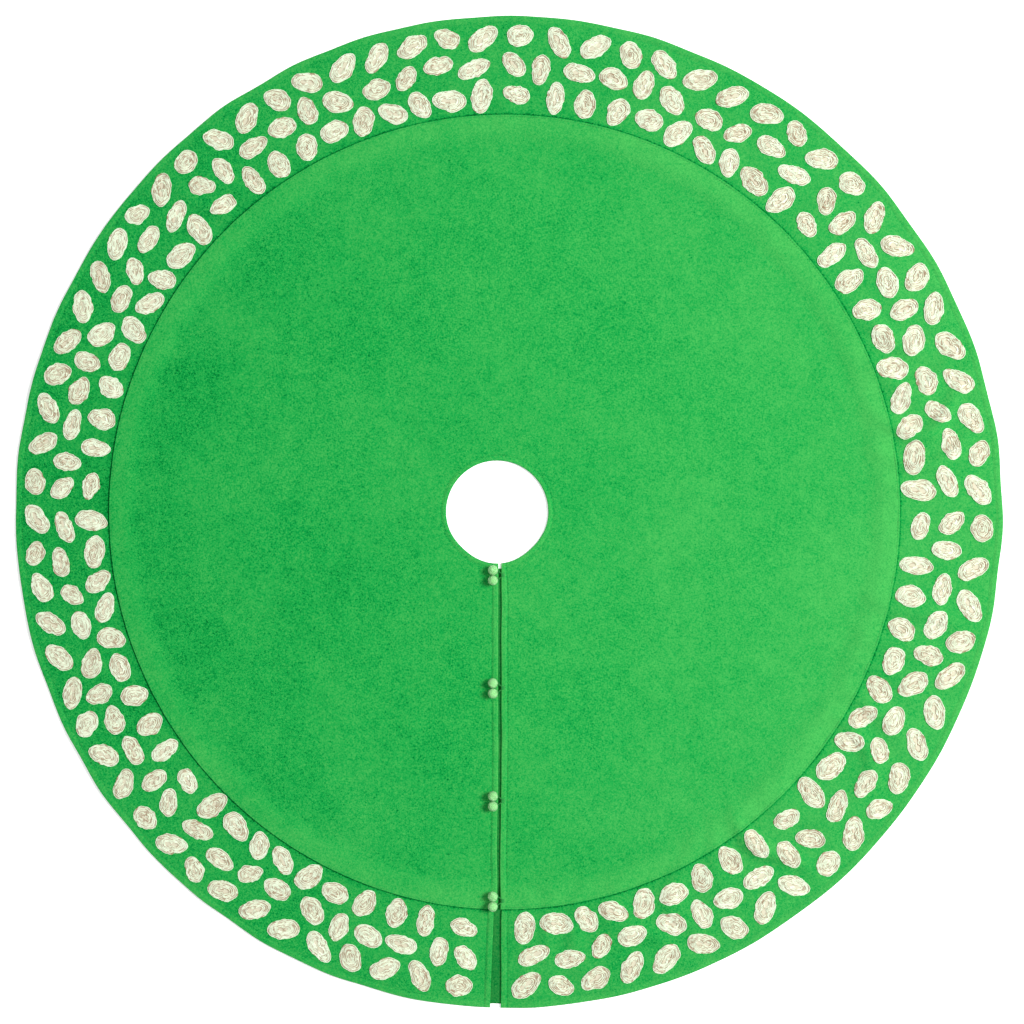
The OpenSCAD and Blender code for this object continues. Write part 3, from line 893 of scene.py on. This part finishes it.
def embroidery():
    """All ovals, as a mesh of strands and a mesh of grounds for each share of the way round."""
    groups = {}
    for points in outlines():
        x, y = (points.min(0) + points.max(0)) / 2
        part = int((math.degrees(math.atan2(y, x)) + 90) % 360 // SHARE_DEG) + 1
        key = "by_slit" if by_the_slit(x, y) else "part_%d" % part
        groups.setdefault(key, []).append(points)
    for key in sorted(groups):
        soup, pad = Soup(), Soup()
        for points in groups[key]:
            rng = np.random.default_rng(int(abs(points.sum()) * 1e6) % 2**31)
            embroider(soup, pad, points, rng)
        nodes, bend = ["ovals_back", "ovals_front"], bend_half
        if key == "by_slit":
            nodes, bend = ["ovals_flap"], bend_flap
        for made, name, material in ((soup, "embroidery_", CREAM_THREAD),
                                     (pad, "embroidery_ground_", PAD_THREAD)):
            obj = made.mesh(name + key, material, "embroidery_cream")
            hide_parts(*nodes)
            bend(obj)


embroidery()

# ---------------------------------------------------------------- felt balls, shanks, loops


BALL_ROWS, BALL_COLS, BALL_FIBRES = 40, 64, 420


def ball(number):
    """A rolled wool ball: a lumpy sphere with loose fibres that lie along it."""
    low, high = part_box("ball_%d" % number)
    centre = np.array((low + high) / 2)
    radius = (high.x - low.x) / 2
    centre[2] = high.z - radius + lifted(centre[0], centre[1])
    rng = np.random.default_rng(900 + number)
    rows, cols = BALL_ROWS, BALL_COLS
    a = np.linspace(0, math.pi, rows + 2)[1:-1][:, None]
    b = np.linspace(0, 2 * math.pi, cols, endpoint=False)[None]
    n = np.stack([np.sin(a) * np.cos(b), np.sin(a) * np.sin(b), np.cos(a) + 0 * b], -1)
    normals = np.vstack([n.reshape(-1, 3), [[0, 0, 1.0], [0, 0, -1.0]]])
    sx, sy = rng.uniform(0, 100, 2)
    nx, ny, nz = normals.T
    rough = (0.22 * waves(nx + sx, ny + 0.7 * nz, 0.9, 11 + number)
             + 0.10 * waves(nx - nz, ny + sy, 0.28, 40 + number))
    verts = centre + normals * (radius - 0.3 * MM + rough * MM)[:, None]
    k = np.arange(cols)
    after = (k + 1) % cols
    top, bottom = np.full(cols, rows * cols), np.full(cols, rows * cols + 1)
    last = (rows - 1) * cols
    faces = np.vstack([grid_faces(rows, cols, close_cols=True),
                       np.stack([k, after, top, top], 1),
                       np.stack([last + after, last + k, bottom, bottom], 1)])
    soup = Soup()
    # painted light and shade: the ball's lumps are painted lighter and its hollows darker
    soup.add(verts, faces, 0.5 + 0.3 * rough)
    for _ in range(BALL_FIBRES):
        v = unit(rng.normal(size=3))
        side = unit(np.cross(v, rng.normal(size=3)))
        t = np.linspace(-1, 1, 5)[:, None]
        path = unit(v + side * t * rng.uniform(0.12, 0.4))
        out = radius - 0.2 * MM + (0.35 * rng.random() + 0.3 * rng.random() * t**2) * MM
        soup.tube(centre + path * out, 0.055 * MM, sides=3, tone=rng.uniform(0.3, 1))
    obj = soup.mesh("felt_ball_%d" % number, MINT, "ball_mint")
    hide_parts("ball_%d" % number)
    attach(obj, "front_half")


COIL_R, COIL_THREAD, COIL_TURNS = 1.1 * MM, 0.38 * MM, 5


def shanks():
    """Thread wound round the stitches that hold each ball."""
    soup = Soup()
    for points in islands("ball_shanks"):
        low, high = points.min(0), points.max(0)
        x, y = (low[:2] + high[:2]) / 2
        foot, tall = low[2] + lifted(x, y), high[2] - low[2]
        t = np.linspace(0, 1, 70)
        a = 2 * math.pi * COIL_TURNS * t
        coil = np.stack([x + COIL_R * np.cos(a), y + COIL_R * np.sin(a), foot + t * tall], 1)
        soup.tube(coil, COIL_THREAD, sides=5, tone=0.4 + 0.2 * np.sin(a))
        core = np.linspace(-0.4 * MM, tall + 0.5 * MM, 4)
        soup.tube(np.stack([x + 0 * core, y + 0.001 * core, foot + core], 1), 1.0 * MM, sides=8,
                  tone=0.3)
    obj = soup.mesh("ball_shank_threads", GREEN_THREAD, "thread_green")
    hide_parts("ball_shanks")
    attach(obj, "front_half")


PLY, TWIST = 0.45 * MM, 4.2 * MM     # a ply's distance from the cord's middle, and one full turn
CORD_POINTS = 240


def round_hull(circles, n=400):
    """The outline of a band stretched round some circles of (x, y, radius)."""
    q = np.linspace(0, 2 * math.pi, n, endpoint=False)
    away = np.stack([np.cos(q), np.sin(q)], 1)
    circles = np.asarray(circles, float)
    reach = away @ circles[:, :2].T + circles[:, 2]
    best = circles[np.argmax(reach, axis=1)]
    return best[:, :2] + away * best[:, 2:]


def cord_loop(number):
    """Two plies twisted into a cord that runs from its tack round both balls' shanks."""
    low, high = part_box("cord_loop_%d" % number)
    cord = (high.z - low.z) / 2
    grip = COIL_R + COIL_THREAD + cord
    balls = [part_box("ball_%d" % (2 * number - k)) for k in (1, 0)]
    circles = [((b[0].x + b[1].x) / 2, (b[0].y + b[1].y) / 2, grip) for b in balls]
    middle, tack_x, bend = (low.y + high.y) / 2, high.x - cord, 1.3 * MM
    circles += [(tack_x - bend, middle + k * bend, bend) for k in (-1, 1)]
    ring, length = resample(round_hull(circles), CORD_POINTS)
    twist = 2 * math.pi * round(length / TWIST) * np.arange(CORD_POINTS) / CORD_POINTS
    normal = sideways(ring)
    z = (low.z + high.z) / 2 + lifted(low.x, middle)
    soup = Soup()
    for ply in range(2):
        q = twist + math.pi * ply
        place = ring + normal * (PLY * np.cos(q))[:, None]
        # painted light and shade: each ply is painted lighter where the twist brings it on top and darker where it
        # runs underneath
        soup.tube(np.column_stack([place, z + PLY * np.sin(q)]), cord - PLY, sides=6,
                  closed=True, tone=0.5 + 0.25 * np.sin(q))
    obj = soup.mesh("cord_loop_mesh_%d" % number, CORD, "cord_green")
    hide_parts("cord_loop_%d" % number)
    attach(obj, "loop_%d" % number)


TACK_STRANDS = 9


def tacks():
    """Side-by-side strands over the end of each cord loop."""
    soup = Soup()
    for points in islands("loop_tacks"):
        low, high = points.min(0), points.max(0)
        for k in range(TACK_STRANDS):
            y = low[1] + (k + 0.5) / TACK_STRANDS * (high[1] - low[1])
            t = np.linspace(0, math.pi, 13)
            x = (low[0] + high[0]) / 2 - np.cos(t) * (high[0] - low[0]) / 2
            z = low[2] + np.sin(t) ** 0.6 * (high[2] - low[2] - 0.35 * MM) + lifted(x.mean(), y)
            soup.tube(np.stack([x, y + 0.1 * MM * np.sin(3 * t + k), z], 1), 0.36 * MM, sides=5,
                      tone=RNG.uniform(0.3, 0.7))
    obj = soup.mesh("loop_tack_threads", GREEN_THREAD, "thread_green")
    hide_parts("loop_tacks")
    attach(obj, "slit_flap")


for number in range(1, 9):
    ball(number)
shanks()
for number in range(1, 5):
    cord_loop(number)
tacks()

# ---------------------------------------------------------------- floor, light, camera

FLOOR_HALF = 8.0
SKY_LIGHT = 0.45


def floor():
    """A white floor, lit a little from within, so that shadows on it stay pale."""
    mesh = bpy.data.meshes.new("floor")
    s = FLOOR_HALF
    mesh.from_pydata([(-s, -s, 0), (s, -s, 0), (s, s, 0), (-s, s, 0)], [], [(0, 1, 2, 3)])
    material = bpy.data.materials.new("floor")
    material.use_nodes = True
    p = material.node_tree.nodes["Principled BSDF"]
    p.inputs["Base Color"].default_value = (0.93, 0.93, 0.93, 1)
    p.inputs["Roughness"].default_value = 0.9
    p.inputs["Specular IOR Level"].default_value = 0.1
    p.inputs["Emission Color"].default_value = (1, 1, 1, 1)
    p.inputs["Emission Strength"].default_value = 0.35
    mesh.materials.append(material)
    obj = bpy.data.objects.new("floor", mesh)
    bpy.context.scene.collection.objects.link(obj)
    obj.location.z = CAD_LOW.z - 0.3 * MM


def area(name, at, size, power, colour=(1, 1, 1)):
    """A square soft light that points at the middle of the skirt."""
    data = bpy.data.lights.new(name, "AREA")
    data.size = size
    data.energy = power
    data.color = colour
    obj = bpy.data.objects.new(name, data)
    obj.location = at
    obj.rotation_mode = "QUATERNION"
    obj.rotation_quaternion = (-Vector(at)).to_track_quat("-Z", "Y")
    bpy.context.scene.collection.objects.link(obj)


def backdrop():
    """A world that is white to the eye and dimmer as a light."""
    world = bpy.data.worlds.new("studio")
    world.use_nodes = True
    tree = world.node_tree
    sky = tree.nodes["Background"]
    sky.inputs["Color"].default_value = (1, 1, 1, 1)
    seen = tree.nodes.new("ShaderNodeLightPath").outputs["Is Camera Ray"]
    strength = tree.nodes.new("ShaderNodeMath")
    strength.operation = "MULTIPLY_ADD"
    strength.inputs[1].default_value = 1 - SKY_LIGHT
    strength.inputs[2].default_value = SKY_LIGHT
    tree.links.new(seen, strength.inputs[0])
    tree.links.new(strength.outputs[0], sky.inputs["Strength"])
    bpy.context.scene.world = world


floor()
area("key", (4.7, 1.0, 5.2), 2.2, 680, (1, 0.99, 0.97))
area("fill", (-1.5, -1.0, 3.4), 3.0, 20)
backdrop()
bpy.context.scene.view_settings.view_transform = "Standard"

# The camera looks straight down, leaning a little to the right, as wide as the skirt.
DISTANCE = 3.0
LEAN = math.radians(5.6)
FRAME_W = 1.573              # width of floor in the picture
target = Vector((0.023, 0, 0))
camera = bpy.data.cameras.new("camera")
camera.sensor_width = 36
camera.lens = 36 * DISTANCE / FRAME_W
eye = bpy.data.objects.new("camera", camera)
eye.location = target + DISTANCE * Vector((math.sin(LEAN), 0, math.cos(LEAN)))
eye.rotation_mode = "XYZ"
eye.rotation_euler = (0, LEAN, 0)
bpy.context.scene.collection.objects.link(eye)
bpy.context.scene.camera = eye
